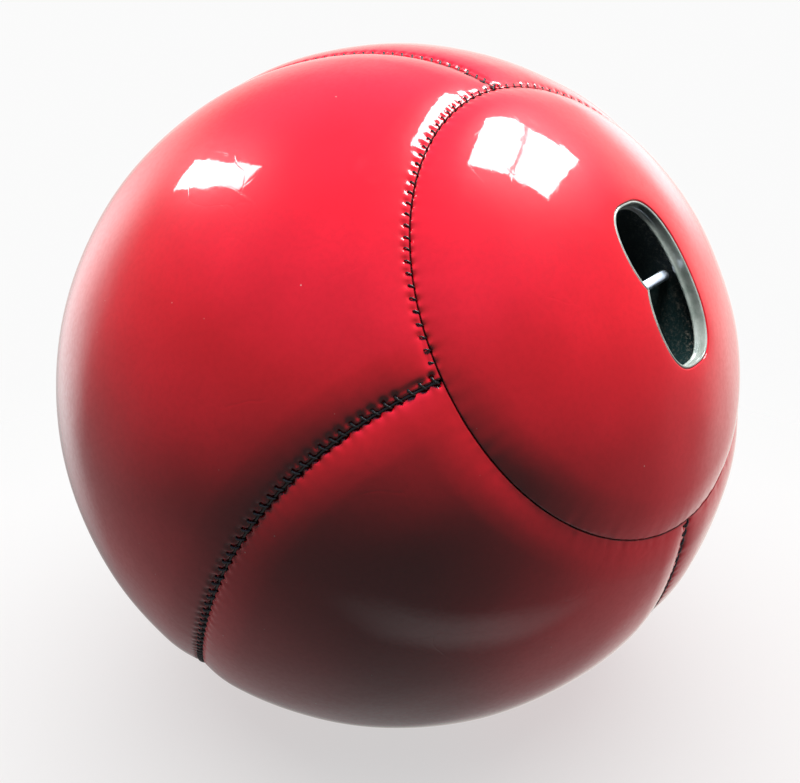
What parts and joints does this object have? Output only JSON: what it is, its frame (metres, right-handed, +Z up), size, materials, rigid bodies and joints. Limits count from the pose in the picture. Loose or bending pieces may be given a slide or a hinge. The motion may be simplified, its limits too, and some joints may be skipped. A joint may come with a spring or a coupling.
{
  "type": "medicine ball",
  "caption": "Weighted sewn medicine ball in glossy leather with curved panels, stitched seams and a recessed hold with a steel cross bar.",
  "frame": {"origin": "centre of the ball", "axes": "+Z up, away from the flat that the ball rests on; the hold faces +X, tilted 30 degrees upwards; +Y to the right of the hold as seen from outside"},
  "size_m": [0.3, 0.2996, 0.2982],
  "materials": {
    "cover_leather": "gloss",
    "thread": "satin",
    "gloss_moulding": "gloss",
    "pocket_moulding": "satin",
    "bright_steel": "gloss",
    "spring_steel": "satin",
    "inner_canvas": "matte",
    "wadding": "matte",
    "ballast_canvas": "matte",
    "sand": "matte"
  },
  "bodies": {
    "root": {"hold_disc_panel": "cover_leather", "rear_disc_panel": "cover_leather", "side_panel_top_right": "cover_leather", "side_panel_bottom_right": "cover_leather", "side_panel_bottom_left": "cover_leather", "side_panel_top_left": "cover_leather", "hold_ring_seam_thread": "thread", "rear_ring_seam_thread": "thread", "side_seam_thread_1": "thread", "side_seam_thread_2": "thread", "side_seam_thread_3": "thread", "side_seam_thread_4": "thread", "hold_collar": "gloss_moulding", "hold_pocket": "pocket_moulding", "cross_bar": "bright_steel", "bar_push_nut_left": "spring_steel", "bar_push_nut_right": "spring_steel", "inner_bag_hold_half": "inner_canvas", "inner_bag_rear_half": "inner_canvas", "wadding_hold_half": "wadding", "wadding_rear_half": "wadding", "ballast_bag_hold_half": "ballast_canvas", "ballast_bag_rear_half": "ballast_canvas", "ballast_sand": "sand"}
  },
  "joints": []
}
